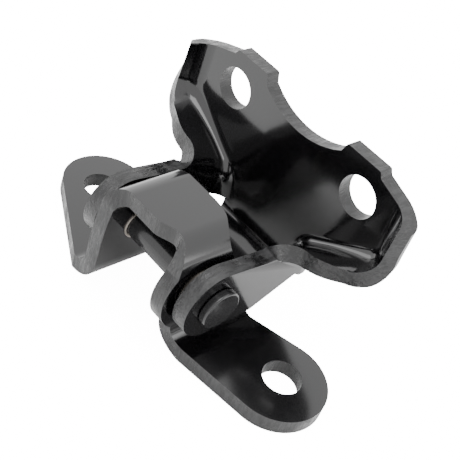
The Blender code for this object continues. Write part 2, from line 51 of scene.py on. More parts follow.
# %% [markdown]
# ## Sizes
#
# All lengths are in metres and are measured from the pin axis at the middle of the strap leaf: X runs
# along the pin, Y from the pin to the plate, Z from the feet to the web. The sheet, the pin and the legs
# are chosen. The ears follow from them, the bush flanges and the gaps that let the leaves turn freely.

# %% Sizes shared by the parts
MM = 0.001
SHEET = 5.0 * MM
RUNNING_GAP = 0.08 * MM
SIDE_GAP = 0.25 * MM
PIN_R = 4.3 * MM
LEG_IN = 11.9 * MM
LEG_OUT = LEG_IN + SHEET
WEB_TOP_Z = 16.8 * MM
FOOT_TOP_Z = -16.7 * MM
PLATE_Y = 40.4 * MM
PLATE_BACK_Y = PLATE_Y + SHEET
LOBE_R = 13.85 * MM
BOSS_R = 11.15 * MM
AXIS = Vector((0, (LOBE_R - PLATE_BACK_Y) / 2, SHEET - FOOT_TOP_Z))
EDGE_ROUND = 0.35 * MM
ARC_STEP = math.radians(4)
WELD = 0.01 * MM
FINE_WELD = 0.001 * MM
OVER = 1.0 * MM
BIG = 100.0 * MM
BUSH_WALL = 0.6 * MM
FLANGE_R = 7.6 * MM
FLANGE_THICK = 0.9 * MM
BUSH_STAND_IN = 0.4 * MM
BUSH_BORE_R = PIN_R + RUNNING_GAP
BUSH_R = BUSH_BORE_R + BUSH_WALL
EAR_IN = LEG_OUT + SIDE_GAP + FLANGE_THICK + SIDE_GAP
EAR_OUT = EAR_IN + SHEET
print(f"ears stand {2000 * EAR_IN:.1f} mm apart, legs {2000 * LEG_IN:.1f} mm")

# %% [markdown]
# ## Drawing tools
#
# A press tool is drawn with straight lines, arcs and easy curves, and so are these outlines. Each helper
# does one thing a toolmaker does: strike an arc, round a corner, or ease from one height to another.

# %% Arcs, corners and curves
def mix(a, b, t):
    return a + (b - a) * t


def ease(a, b, t):
    return mix(a, b, t * t * (3 - 2 * t))


def clamp(value):
    return min(1, max(0, value))


def arc(centre, radius, start, end):
    count = max(2, math.ceil(abs(end - start) / ARC_STEP))
    angles = [mix(start, end, i / count) for i in range(count + 1)]
    return [(centre[0] + radius * math.cos(a), centre[1] + radius * math.sin(a)) for a in angles]


def tangent_angle(point, centre, radius, side):
    offset = Vector(point) - Vector(centre)
    return math.atan2(offset.y, offset.x) + side * math.acos(radius / offset.length)


def bezier(a, b, c, d, count):
    curve = []
    for i in range(1, count + 1):
        t = i / count
        s = 1 - t
        curve.append(a * s ** 3 + b * 3 * s * s * t + c * 3 * s * t * t + d * t ** 3)
    return curve


def round_corners(corners):
    outline = []
    for i, (u, v, radius) in enumerate(corners):
        here = Vector((u, v))
        if radius == 0:
            outline.append((u, v))
            continue
        back = (Vector(corners[i - 1][:2]) - here).normalized()
        ahead = (Vector(corners[(i + 1) % len(corners)][:2]) - here).normalized()
        half = back.angle(ahead) / 2
        centre = here + (back + ahead).normalized() * radius / math.sin(half)
        first = here + back * radius / math.tan(half) - centre
        last = here + ahead * radius / math.tan(half) - centre
        start = math.atan2(first.y, first.x)
        turn = math.remainder(math.atan2(last.y, last.x) - start, 2 * math.pi)
        outline += arc(centre, radius, start, start + turn)
    return outline


print("a quarter turn is struck in", len(arc((0, 0), 1, 0, math.pi / 2)) - 1, "steps")

# %% [markdown]
# ## Solids
#
# A leaf starts as one drawn face of the sheet. Round parts are turned about the pin axis, the way a lathe
# would turn them, and holes are punched by rods that are thrown away afterwards.

# %% Prisms, rods and turned parts
def add_object(name, bm):
    mesh = bpy.data.meshes.new(name)
    bm.normal_update()
    bm.to_mesh(mesh)
    bm.free()
    obj = bpy.data.objects.new(name, mesh)
    bpy.context.scene.collection.objects.link(obj)
    return obj


PLACES = {
    "X": lambda u, v, w: (w, u, v),
    "Y": lambda u, v, w: (u, w, v),
    "Z": lambda u, v, w: (u, v, w),
}


def prism(name, outline, axis, low, high):
    place = PLACES[axis]
    bm = bmesh.new()
    base = bm.faces.new([bm.verts.new(place(u, v, low)) for u, v in outline])
    moved = bmesh.ops.extrude_face_region(bm, geom=[base])["geom"]
    verts = [item for item in moved if isinstance(item, bmesh.types.BMVert)]
    bmesh.ops.translate(bm, verts=verts, vec=Vector(place(0, 0, high - low)))
    bmesh.ops.recalc_face_normals(bm, faces=bm.faces)
    return add_object(name, bm)


def rod(name, radius, axis, centre, low, high, sides=96):
    turn = 2 * math.pi / sides
    circle = [(centre[0] + radius * math.cos(i * turn), centre[1] + radius * math.sin(i * turn))
              for i in range(sides)]
    return prism(name, circle, axis, low, high)


def turned(name, profile, sides=128):
    bm = bmesh.new()
    rings = []
    for i in range(sides):
        a = 2 * math.pi * i / sides
        rings.append([bm.verts.new((x, r * math.cos(a), r * math.sin(a))) for x, r in profile])
    for i, ring in enumerate(rings):
        after = rings[(i + 1) % sides]
        for j in range(len(profile) - 1):
            bm.faces.new((ring[j], ring[j + 1], after[j + 1], after[j]))
    bmesh.ops.remove_doubles(bm, verts=bm.verts, dist=FINE_WELD)
    bmesh.ops.recalc_face_normals(bm, faces=bm.faces)
    return add_object(name, bm)


print("prisms can be drawn along", sorted(PLACES))

# %% [markdown]
# ## A small language for finishes
#
# A finish is arithmetic on fields: how rough is the coat here, how deep is this streak. `Socket` wraps one
# output of a material's node tree so that the arithmetic reads as arithmetic.

# %% Socket and its operators
class Socket:
    """One output of a material's nodes, with operators that add the matching nodes."""

    def __init__(self, tree, output):
        self.tree = tree
        self.output = output

    def node(self, kind, settings=None, **inputs):
        made = self.tree.nodes.new(kind)
        for key, value in (settings or {}).items():
            setattr(made, key, value)
        for key, value in inputs.items():
            index = int(key[1:]) if key[0] == "_" and key[1:].isdigit() else key.replace("_", " ")
            socket = made.inputs[index]
            if isinstance(value, Socket):
                self.tree.links.new(value.output, socket)
            else:
                socket.default_value = value
        return made

    def out(self, made, name=0):
        return Socket(self.tree, made.outputs[name])

    def maths(self, operation, *values):
        inputs = {f"_{i}": value for i, value in enumerate(values)}
        return self.out(self.node("ShaderNodeMath", {"operation": operation}, **inputs))

    def __add__(self, other):
        return self.maths("ADD", self, other)

    def __radd__(self, other):
        return self.maths("ADD", other, self)

    def __mul__(self, other):
        return self.maths("MULTIPLY", self, other)

    def __rmul__(self, other):
        return self.maths("MULTIPLY", other, self)

    def smooth(self, low, high):
        ramp = self.node("ShaderNodeMapRange", {"interpolation_type": "SMOOTHSTEP"},
                         Value=self, From_Min=low, From_Max=high)
        return self.out(ramp)

    def noise(self, scale, detail=3.0, roughness=0.55):
        shape = {"Scale": scale, "Detail": detail, "Roughness": roughness}
        return self.out(self.node("ShaderNodeTexNoise", None, Vector=self, **shape))

    def stretched(self, x, y, z):
        made = self.node("ShaderNodeVectorMath", {"operation": "MULTIPLY"}, _0=self, _1=(x, y, z))
        return self.out(made)

    def blend(self, low, high):
        made = self.node("ShaderNodeMix", {"data_type": "RGBA"}, _0=self, _6=low, _7=high)
        return Socket(self.tree, made.outputs[2])


print("Socket answers + and *, with a number or another Socket on either side")

# %% [markdown]
# Every finish below is one Principled shader. `finish` sets what is the same all over, `feed` joins a field
# to an input that changes over the surface, and `relief` turns a height into a tilt of the light.

# %% Starting a finish
def finish(name, constants):
    """A Principled material with its constants set. Gives the material, its shader and object coordinates."""
    material = bpy.data.materials.new(name)
    material.use_nodes = True
    tree = material.node_tree
    shader = tree.nodes["Principled BSDF"]
    for key, value in constants.items():
        shader.inputs[key].default_value = value
    coordinates = tree.nodes.new("ShaderNodeTexCoord")
    return material, shader, Socket(tree, coordinates.outputs["Object"])


def feed(shader, name, value):
    value.tree.links.new(value.output, shader.inputs[name])


def relief(height, shader, strength, distance):
    bump = height.node("ShaderNodeBump", None, Strength=strength, Distance=distance, Height=height)
    feed(shader, "Normal", Socket(height.tree, bump.outputs[0]))


print("a finish changes over the surface in colour, roughness and relief")

# %% [markdown]
# ## The coat
#
# Hinges are dipped in black electrocoat and baked. On a rolled face the coat levels to a gloss with a very
# faint orange peel. On a sheared edge it bridges a torn surface, so the same paint looks streaked and grey.

# %% Coat and sheared edges
COAT_DEEP = (0.0012, 0.0012, 0.0014, 1)
COAT_THIN = (0.0024, 0.0023, 0.0027, 1)
EDGE_COATED = (0.0015, 0.0015, 0.0017, 1)
EDGE_WORN = (0.012, 0.012, 0.0125, 1)


def coat_finish(name):
    material, shader, here = finish(name, {"IOR": 1.5, "Specular IOR Level": 0.55})
    cloud = here.noise(38.0, 2.0)
    grain = here.noise(900.0, 2.0)
    feed(shader, "Base Color", cloud.blend(COAT_DEEP, COAT_THIN))
    feed(shader, "Roughness", 0.09 + 0.05 * cloud + 0.02 * grain)
    relief(0.8 * here.noise(420.0, 1.0) + 0.2 * grain, shader, 0.12, 0.02 * MM)
    return material


def sheared_finish(name, streak):
    material, shader, here = finish(name, {"IOR": 1.5, "Specular IOR Level": 0.45})
    tear = here.stretched(*streak).noise(900.0, 4.0, 0.65)
    patch = here.noise(160.0, 2.0)
    worn = (tear * 0.6 + patch * 0.4).smooth(0.46, 0.6)
    feed(shader, "Base Color", worn.blend(EDGE_COATED, EDGE_WORN))
    feed(shader, "Roughness", 0.14 + 0.34 * patch.smooth(0.35, 0.65))
    relief(tear + 0.8 * patch, shader, 0.9, 0.3 * MM)
    return material


COAT = coat_finish("black_e_coat")
BODY_EDGE = sheared_finish("body_sheared_edge", (1.0, 0.16, 1.0))
STRAP_EDGE = sheared_finish("strap_sheared_edge", (1.0, 1.0, 0.2))
print("sheet finishes:", [m.name for m in (COAT, BODY_EDGE, STRAP_EDGE)])

# %% [markdown]
# The pin is turned, so its fine rings run round its axis. It is phosphated, which leaves it dark and a
# little grey. The bushes are bare bearing metal, the only thing here that is not black.

# %% Pin and bush finishes
PIN_DARK = (0.003, 0.003, 0.0032, 1)
PIN_GREY = (0.012, 0.012, 0.0125, 1)
BUSH_STAINED = (0.30, 0.27, 0.24, 1)
BUSH_CLEAN = (0.46, 0.42, 0.37, 1)


def pin_finish(name):
    material, shader, here = finish(name, {"Specular IOR Level": 0.4, "IOR": 1.5})
    turning = here.stretched(4000.0, 60.0, 60.0).noise(1.0, 2.0)
    feed(shader, "Base Color", turning.blend(PIN_DARK, PIN_GREY))
    feed(shader, "Roughness", 0.13 + 0.1 * turning)
    relief(turning, shader, 0.15, 0.02 * MM)
    return material


def bush_finish(name):
    material, shader, here = finish(name, {"Metallic": 0.85})
    stain = here.noise(300.0, 3.0)
    feed(shader, "Base Color", stain.blend(BUSH_STAINED, BUSH_CLEAN))
    feed(shader, "Roughness", 0.3 + 0.2 * stain)
    relief(stain, shader, 0.1, 0.02 * MM)
    return material


PIN_STEEL = pin_finish("phosphated_pin_steel")
BUSH_METAL = bush_finish("bush_bronze")
print("round part finishes:", [m.name for m in (PIN_STEEL, BUSH_METAL)])

# %% [markdown]
# ## Sheet from a drawn face
#
# Sheet metal has one rule: whatever the face does, the back does too, one thickness away. A Geometry Nodes
# tree applies the rule. It copies the drawn face, pushes the copy through the sheet along the direction
# stored on each point, and closes the two with the sheared edge. Where the press has squeezed the edge, the
# stored direction is shorter or turned, and the edge comes out slanted as it does on the real stamping.

# %% The sheet tree
def sheet_tree():
    tree = bpy.data.node_groups.new("sheet_from_face", "GeometryNodeTree")
    face = tree.interface
    face.new_socket("Geometry", in_out="INPUT", socket_type="NodeSocketGeometry")
    face.new_socket("Thickness", in_out="INPUT", socket_type="NodeSocketFloat")
    face.new_socket("Face finish", in_out="INPUT", socket_type="NodeSocketMaterial")
    face.new_socket("Edge finish", in_out="INPUT", socket_type="NodeSocketMaterial")
    face.new_socket("Geometry", in_out="OUTPUT", socket_type="NodeSocketGeometry")
    nodes, links = tree.nodes, tree.links
    source = nodes.new("NodeGroupInput")
    extrude = nodes.new("GeometryNodeExtrudeMesh")
    extrude.inputs["Individual"].default_value = False
    extrude.inputs["Offset Scale"].default_value = 0.0
    links.new(source.outputs["Geometry"], extrude.inputs["Mesh"])
    through = nodes.new("GeometryNodeInputNamedAttribute")
    through.data_type = "FLOAT_VECTOR"
    through.inputs["Name"].default_value = "through"
    scale = nodes.new("ShaderNodeVectorMath")
    scale.operation = "SCALE"
    links.new(through.outputs["Attribute"], scale.inputs[0])
    links.new(source.outputs["Thickness"], scale.inputs["Scale"])
    push = nodes.new("GeometryNodeSetPosition")
    links.new(extrude.outputs["Mesh"], push.inputs["Geometry"])
    links.new(extrude.outputs["Top"], push.inputs["Selection"])
    links.new(scale.outputs["Vector"], push.inputs["Offset"])
    edge = nodes.new("GeometryNodeSetMaterial")
    links.new(push.outputs["Geometry"], edge.inputs["Geometry"])
    links.new(extrude.outputs["Side"], edge.inputs["Selection"])
    links.new(source.outputs["Edge finish"], edge.inputs["Material"])
    back = nodes.new("GeometryNodeSetMaterial")
    links.new(edge.outputs["Geometry"], back.inputs["Geometry"])
    links.new(extrude.outputs["Top"], back.inputs["Selection"])
    links.new(source.outputs["Face finish"], back.inputs["Material"])
    flip = nodes.new("GeometryNodeFlipFaces")
    links.new(back.outputs["Geometry"], flip.inputs["Mesh"])
    front = nodes.new("GeometryNodeSetMaterial")
    links.new(source.outputs["Geometry"], front.inputs["Geometry"])
    links.new(source.outputs["Face finish"], front.inputs["Material"])
    join = nodes.new("GeometryNodeJoinGeometry")
    links.new(flip.outputs["Mesh"], join.inputs["Geometry"])
    links.new(front.outputs["Geometry"], join.inputs["Geometry"])
    weld = nodes.new("GeometryNodeMergeByDistance")
    weld.inputs["Distance"].default_value = FINE_WELD
    links.new(join.outputs["Geometry"], weld.inputs["Geometry"])
    real = nodes.new("GeometryNodeRealizeInstances")
    links.new(weld.outputs["Geometry"], real.inputs["Geometry"])
    target = nodes.new("NodeGroupOutput")
    links.new(real.outputs["Geometry"], target.inputs["Geometry"])
    return tree


SHEET_TREE = sheet_tree()
print("sheet tree:", len(SHEET_TREE.nodes), "nodes")

# %% [markdown]
# A drawn face needs two things before the tree can work: the tree itself, hung on as a modifier, and the
# way through the sheet stored on every point. The way is the normal turned inward unless a part says
# otherwise.

# %% Hanging the sheet on a face
def socket_id(tree, name):
    return next(item.identifier for item in tree.interface.items_tree
                if item.name == name and item.in_out == "INPUT")


def make_sheet(obj, edge_finish):
    """Hang the sheet tree on a drawn face."""
    modifier = obj.modifiers.new("sheet", "NODES")
    modifier.node_group = SHEET_TREE
    modifier[socket_id(SHEET_TREE, "Thickness")] = SHEET
    modifier[socket_id(SHEET_TREE, "Face finish")] = COAT
    modifier[socket_id(SHEET_TREE, "Edge finish")] = edge_finish
    obj.data.materials.append(COAT)


def store_through(obj, squeezed=None):
    """Store on each point the way through the sheet: straight in, unless squeezed gives another way."""
    mesh = obj.data
    ways = []
    for vertex in mesh.vertices:
        way = -vertex.normal
        if squeezed:
            way = squeezed(vertex.co, way)
        ways += list(way)
    attribute = mesh.attributes.new("through", "FLOAT_VECTOR", "POINT")
    attribute.data.foreach_set("vector", ways)


print("sheet thickness goes in through", socket_id(SHEET_TREE, "Thickness"))

# %% [markdown]
# Holes are punched after the bending, so their walls stay square. Every edge then gets a small round, which
# is what catches the light on real steel, and the modifiers are baked into one plain mesh.

# %% Punching, rounding and finishing
def cut(obj, cutter, edge_finish):
    """Punch one solid out of another. The cut faces take the sheared finish."""
    cutter.data.materials.append(edge_finish)
    cutter.hide_render = True
    modifier = obj.modifiers.new("cut_" + cutter.name, "BOOLEAN")
    modifier.operation = "DIFFERENCE"
    modifier.solver = "EXACT"
    modifier.material_mode = "TRANSFER"
    modifier.object = cutter
    return cutter


def soften(obj, width, angle=40, segments=3):
    bevel = obj.modifiers.new("soft_edges", "BEVEL")
    bevel.width = width
    bevel.segments = segments
    bevel.limit_method = "ANGLE"
    bevel.angle_limit = math.radians(angle)
    bevel.use_clamp_overlap = True
    bevel.harden_normals = False


def finished(obj, cutters=()):
    """Turn an object and its modifiers into one plain mesh that stands in the hinge's own frame."""
    name = obj.name
    weighted = obj.modifiers.new("flat_faces_stay_flat", "WEIGHTED_NORMAL")
    weighted.keep_sharp = True
    weighted.weight = 80
    graph = bpy.context.evaluated_depsgraph_get()
    shown = obj.evaluated_get(graph)
    mesh = bpy.data.meshes.new_from_object(shown, preserve_all_data_layers=True, depsgraph=graph)
    mesh.transform(Matrix.Translation(AXIS))
    bpy.data.objects.remove(obj, do_unlink=True)
    for cutter in cutters:
        bpy.data.objects.remove(cutter, do_unlink=True)
    done = bpy.data.objects.new(name, mesh)
    mesh.name = name
    bpy.context.scene.collection.objects.link(done)
    print(f"{name}: {len(mesh.polygons)} faces, materials {[m.name for m in mesh.materials]}")
    return done


print(f"edges are rounded by {1000 * EDGE_ROUND:.2f} mm")

# %% [markdown]
# ## Strap leaf
#
# The strap is one strip. Each station below is a place along the strip with its near and far edge, from the
# tip of the left foot, up the left leg, over the web, down the right leg and out to the right foot. The
# right leg swells into a lobe round the pin hole, and both edges draw in a little over the right bend.

# %% Strap sizes
WEB_BEND_R = 3.5 * MM
FOOT_BEND_R = 5.0 * MM
FOOT_ROOT_FAR_Y = 21.4 * MM
RIGHT_FOOT = {"x": 43.4 * MM, "y": 12.8 * MM, "r": 15.0 * MM, "near_y": -5.8 * MM}
LEFT_FOOT = {"x": 44.4 * MM, "y": 16.2 * MM, "r": 14.0 * MM, "near_y": -11.8 * MM}
FOOT_HOLE_X = 43.7 * MM
FOOT_HOLE_Y = 14.2 * MM
FOOT_HOLE_R = 6.0 * MM
LEFT_LEG_NEAR_Y = -12.6 * MM
LEFT_LEG_TOP_Y = -11.6 * MM
LEFT_LEG_EASE_Z = -3.0 * MM
WEB_NEAR_Y = -8.9 * MM
WEB_FAR_Y = 11.9 * MM
WEB_WAIST_X = 1.5 * MM
WEB_RELIEF = 2.4 * MM
WEB_FAR_FALL = 1.3 * MM
BEND_RELIEF = 2.4 * MM
RIGHT_LEG_FAR_Y = 9.2 * MM
LOBE_SHARE = 0.9
LEG_STEPS = 6
WAIST_STEPS = 12
ROOT_Z = FOOT_TOP_Z + FOOT_BEND_R
TOP_Z = WEB_TOP_Z - WEB_BEND_R - SHEET
HALF_WEB = LEG_OUT - WEB_BEND_R - SHEET
tip_to_tip = sum(foot["x"] + foot["r"] for foot in (LEFT_FOOT, RIGHT_FOOT))
print(f"strap leaf: {1000 * tip_to_tip:.1f} mm from tip to tip")

# %% [markdown]
# Each foot is a disc round its bolt hole, joined to its root by two tangent lines. A bend carries the strip
# from one flat to the next along an arc, while its edges ease from the one width to the other.

# %% Feet and bends
def foot_stations(foot, side):
    root_x = LEG_OUT + FOOT_BEND_R
    centre = (foot["x"], foot["y"])
    near_root = (root_x, foot["near_y"])
    far_root = (root_x, FOOT_ROOT_FAR_Y)
    near_angle = tangent_angle(near_root, centre, foot["r"], 1) % (2 * math.pi) - 2 * math.pi
    far_angle = tangent_angle(far_root, centre, foot["r"], -1)
    xs = [root_x, foot["x"] + foot["r"] * math.cos(near_angle), foot["x"] + foot["r"] * math.cos(far_angle)]
    xs += [x for x, _ in arc(centre, foot["r"], min(near_angle, -far_angle), 0)[1:]]
    stations = []
    for x in sorted(xs):
        edges = []
        for root, angle, sign in ((near_root, near_angle, -1), (far_root, far_angle, 1)):
            touch = (centre[0] + foot["r"] * math.cos(angle), centre[1] + foot["r"] * math.sin(angle))
            if x <= touch[0]:
                edges.append(mix(root[1], touch[1], (x - root[0]) / (touch[0] - root[0])))
            else:
                edges.append(centre[1] + sign * math.sqrt(max(0, foot["r"] ** 2 - (x - centre[0]) ** 2)))
        stations.append((side * x, FOOT_TOP_Z, edges[0], edges[1]))
    return stations


def bend_stations(centre, radius, start, end, near, far, dip=0.0):
    places = arc(centre, radius, start, end)
    last = len(places) - 1
    stations = []
    for i, (x, z) in enumerate(places):
        t = i / last
        stations.append((x, z, ease(*near, t), ease(*far, t) - dip * math.sin(math.pi * t)))
    return stations[1:-1]


print("left foot:", len(foot_stations(LEFT_FOOT, -1)), "stations")

# %% [markdown]
# The near edge of the right leg is the lobe round the pin. The left leg runs straight up and leans in near
# the top. The web's near edge is cut back toward the right leg.

# %% Legs and web
def leg_far(top_y, z):
    return mix(FOOT_ROOT_FAR_Y, top_y, (z - ROOT_Z) / (TOP_Z - ROOT_Z))


def right_leg_stations():
    below, above = (math.asin(min(height / LOBE_R, LOBE_SHARE)) for height in (-ROOT_Z, TOP_Z))
    edge = arc((0, 0), LOBE_R, math.pi + below, math.pi - above)
    return [(LEG_OUT, z, y, leg_far(RIGHT_LEG_FAR_Y, z)) for y, z in edge]


def left_leg_stations():
    edge = [(LEFT_LEG_NEAR_Y, ROOT_Z), (LEFT_LEG_NEAR_Y, LEFT_LEG_EASE_Z)]
    for i in range(1, LEG_STEPS + 1):
        t = i / LEG_STEPS
        edge.append((mix(LEFT_LEG_NEAR_Y, LEFT_LEG_TOP_Y, t * t), mix(LEFT_LEG_EASE_Z, TOP_Z, t)))
    return [(-LEG_OUT, z, y, leg_far(WEB_FAR_Y, z)) for y, z in edge]


def web_stations():
    stations = [(-HALF_WEB, WEB_TOP_Z, WEB_NEAR_Y, WEB_FAR_Y)]
    for i in range(WAIST_STEPS + 1):
        t = i / WAIST_STEPS
        near_y = ease(WEB_NEAR_Y, WEB_NEAR_Y + WEB_RELIEF, t)
        stations.append((mix(WEB_WAIST_X, HALF_WEB, t), WEB_TOP_Z, near_y, WEB_FAR_Y - WEB_FAR_FALL * t * t))
    return stations


print("right leg:", len(right_leg_stations()), "stations, web:", len(web_stations()))

# %% [markdown]
# The five flats are joined by four bends into one strip. Two foot bends turn one way and two web bends turn
# the other, which is what makes the hat.

# %% The whole strip
def strap_stations():
    foot_x = LEG_OUT + FOOT_BEND_R
    web_r = WEB_BEND_R + SHEET
    quarter = math.pi / 2
    left_foot = foot_stations(LEFT_FOOT, -1)[::-1]
    left_leg = left_leg_stations()
    web = web_stations()
    right_leg = right_leg_stations()[::-1]
    right_foot = foot_stations(RIGHT_FOOT, 1)

    def joined(first, then, centre, radius, start, end, **shape):
        near = (first[-1][2], then[0][2])
        far = (first[-1][3], then[0][3])
        return bend_stations(centre, radius, start, end, near, far, **shape)

    return (
        left_foot
        + joined(left_foot, left_leg, (-foot_x, ROOT_Z), FOOT_BEND_R, -quarter, 0)
        + left_leg
        + joined(left_leg, web, (-HALF_WEB, TOP_Z), web_r, 2 * quarter, quarter)
        + web
        + joined(web, right_leg, (HALF_WEB, TOP_Z), web_r, quarter, 0, dip=BEND_RELIEF)
        + right_leg
        + joined(right_leg, right_foot, (foot_x, ROOT_Z), FOOT_BEND_R, 2 * quarter, 3 * quarter)
        + right_foot
    )


print("whole strip:", len(strap_stations()), "stations")

# %% [markdown]
# The strip becomes a drawn face, the sheet tree makes steel of it, and the two bolt holes and the two bush
# holes are punched last.

# %% Making the strap leaf
def strap_leaf():
    bm = bmesh.new()
    rows = []
    for x, z, near, far in strap_stations():
        row = [bm.verts.new((x, near, z))]
        if far - near > OVER:
            row.append(bm.verts.new((x, far, z)))
        rows.append(row)
    for first, then in zip(rows, rows[1:]):
        bm.faces.new(then + first[::-1])
    for polygon in bm.faces:
        polygon.smooth = True
    obj = add_object("strap_leaf", bm)
    store_through(obj)
    make_sheet(obj, STRAP_EDGE)
    cutters = []
    for side in (-1, 1):
        place = (side * FOOT_HOLE_X, FOOT_HOLE_Y)
        low, high = FOOT_TOP_Z - SHEET - OVER, FOOT_TOP_Z + OVER
        cutters.append(cut(obj, rod(f"foot_hole_{side}", FOOT_HOLE_R, "Z", place, low, high), STRAP_EDGE))
        reach = sorted((side * (LEG_IN - OVER), side * (LEG_OUT + OVER)))
        bush_hole = rod(f"bush_hole_{side}", BUSH_R + RUNNING_GAP, "X", (0, 0), *reach)
        cutters.append(cut(obj, bush_hole, STRAP_EDGE))
    soften(obj, EDGE_ROUND)
    return finished(obj, cutters)


strap = strap_leaf()

# %% [markdown]
# ## Plate leaf
#
# The plate is flat between the wings. Its sides fold forward along a line that climbs straight up beside
# the ears, runs out at a slant under the bolt holes, and turns up again at the wing tips. Each row of the
# wall starts on the plate, rounds the fold and runs straight to the free edge, or to the flat of the ear.

# %% Plate sizes
FOLD_R = 6.0 * MM
WING_FOLD_R = 3.4 * MM
EAR_BOTTOM = (16.9 * MM, -9.9 * MM)
LEFT_EAR_DROP = 3.0 * MM
EAR_TOP = (16.0 * MM, 9.3 * MM)
EAR_ROOT_Z = -1.4 * MM
EAR_FOOT_Z = -6.9 * MM
RELIEF = 0.5 * MM
TONGUE_CLEAR = 2.6 * MM
TONGUE_HALF = EAR_IN - TONGUE_CLEAR
SEAM_RISE = 1.5 * MM
WING_EDGE_CORNER = Vector((39.6, 31.2, 14.5)) * MM
TIP_DRAW_IN = 1.2 * MM
LIP_CORNER_R = 3.0 * MM
NECK_FULLNESS = (0.5, 0.6)
FLANK_FULLNESS = (0.45, 0.3)
TIP_LEAVING = Vector((0.55, 0.4, 0.15))
TIP_ARRIVING = Vector((0.0, 0.1, 0.5))
TIGHTEN_FROM = 0.15
TIGHTEN_OVER = 0.3
EAR_SEAM_Y = 32.6 * MM
EAR_CORNER_Z = 2.6 * MM
EAR_CORNER_R = 7.0 * MM
WING_FOLD_X = 41.4 * MM
WING_CORNER_Z = 17.9 * MM
WING_CORNER_R = 6.0 * MM
WING_EDGE_X = 44.4 * MM
WING_TIP_Z = 22.0 * MM
NECK_Y = 19.8 * MM
WING_DEPTH = 12.9 * MM
WING_EDGE_Z = 12.3 * MM
NECK_REACH = 9.4 * MM
TIP_DEPTH = 5.6 * MM
LIP_Z = -8.4 * MM
LIP_R = 6.0 * MM
LIP_FLAT = 3.4 * MM
PLATE_HOLE_X = 26.5 * MM
PLATE_HOLE_Z = 28.1 * MM
PLATE_HOLE_R = 6.5 * MM
BLANK_TOP_Z = 44.0 * MM
STEPS = 16
WALL_STEPS = 12
print(f"plate leaf: {1000 * PLATE_Y:.1f} mm from the pin, bolt holes {2000 * PLATE_HOLE_X:.1f} mm apart")

# %% [markdown]
# The fold line is drawn on the flat plate. It is three straight runs with a round corner between each two,
# and every place on it knows which way is out.

# %% The fold line
def fold_path():
    """Parts of the fold, each a list of (point, outward direction) in the plane of the plate."""
    ear_corner = Vector((EAR_IN, EAR_CORNER_Z))
    wing_corner = Vector((WING_FOLD_X, WING_CORNER_Z))
    slope = (wing_corner - ear_corner).normalized()
    turn = Vector((0, 1)).angle(slope)
    ear_reach = EAR_CORNER_R * math.tan(turn / 2)
    wing_reach = WING_CORNER_R * math.tan(turn / 2)
    ear_end = ear_corner - Vector((0, ear_reach))
    wing_start = wing_corner + Vector((0, wing_reach))

    def straight(a, b):
        along = (b - a).normalized()
        return [(a.lerp(b, i / STEPS), Vector((along.y, -along.x))) for i in range(STEPS + 1)]

    def bent(centre, radius, start, end, sign):
        angles = [mix(start, end, i / STEPS) for i in range(STEPS + 1)]
        rays = [Vector((math.cos(a), math.sin(a))) for a in angles]
        return [(centre + ray * radius, ray * sign) for ray in rays]

    return [
        straight(Vector((EAR_IN, EAR_FOOT_Z)), ear_end),
        bent(ear_end + Vector((EAR_CORNER_R, 0)), EAR_CORNER_R, math.pi, math.pi - turn, -1),
        straight(ear_corner + slope * ear_reach, wing_corner - slope * wing_reach),
        bent(wing_start - Vector((WING_CORNER_R, 0)), WING_CORNER_R, -turn, 0, 1),
        straight(wing_start, Vector((WING_FOLD_X, BLANK_TOP_Z))),
    ]


def joined_parts(parts):
    return parts[0] + [place for part in parts[1:] for place in part[1:]]


print("fold line:", len(joined_parts(fold_path())), "places")

# %% [markdown]
# The free edge of the wall is a line in space. It runs up the seam of the ear, dips through the neck, climbs
# the flank of the wing and turns up at the tip. The left ear starts a little lower than the right one.

# %% The free edge of the wall
def wall_edge(side):
    """Front edge of one wall, drawn for the right side, matched place for place to fold_path."""
    half = STEPS // 2
    slant = (EAR_ROOT_Z - EAR_BOTTOM[1]) / (PLATE_Y - FOLD_R - EAR_BOTTOM[0])
    seam_low = EAR_ROOT_Z - slant * (PLATE_Y - FOLD_R - EAR_SEAM_Y)
    if side < 0:
        seam_low -= LEFT_EAR_DROP
    seam_high = fold_path()[0][-1][0].y + SEAM_RISE
    ear = [Vector((EAR_IN, EAR_SEAM_Y, mix(seam_low, seam_high, i / STEPS))) for i in range(STEPS + 1)]
    neck_start = Vector((EAR_IN, NECK_Y, EAR_TOP[1]))
    neck_end = Vector((EAR_IN + NECK_REACH, PLATE_Y - WING_DEPTH, WING_EDGE_Z))
    corner_start = WING_EDGE_CORNER
    tip_start = Vector((WING_EDGE_X, PLATE_Y - TIP_DEPTH, WING_TIP_Z))
    tip_end = Vector((WING_EDGE_X, PLATE_Y - TIP_DEPTH + TIP_DRAW_IN, BLANK_TOP_Z))
    ridge = [ear[-1].lerp(neck_start, i / half) for i in range(half + 1)]
    forward = Vector((0, neck_end.y - neck_start.y, 0)) * NECK_FULLNESS[0]
    sideways = Vector((neck_end.x - neck_start.x, 0, 0)) * NECK_FULLNESS[1]
    neck = bezier(neck_start, neck_start + forward, neck_end - sideways, neck_end, STEPS)
    rise = corner_start - neck_end
    level = Vector((rise.x, 0, rise.z)) * FLANK_FULLNESS[0]
    flank = bezier(neck_end, neck_end + level, corner_start - rise * FLANK_FULLNESS[1], corner_start, half)
    up = tip_start - corner_start
    leaving = Vector([a * b for a, b in zip(up, TIP_LEAVING)])
    arriving = Vector([a * b for a, b in zip(up, TIP_ARRIVING)])
    corner = bezier(corner_start, corner_start + leaving, tip_start - arriving, tip_start, STEPS)
    tip = [tip_start.lerp(tip_end, i / STEPS) for i in range(STEPS + 1)]
    return [ear, ridge + neck[:half], neck[half - 1:] + flank, [flank[-1]] + corner, tip]


print("free edge:", len(joined_parts(wall_edge(1))), "places, one for each on the fold line")

# %% [markdown]
# The ear is one flat face with the pin's boss at its end. The wall between the fold and the free edge is
# ruled in rows: round the fold first, then straight.

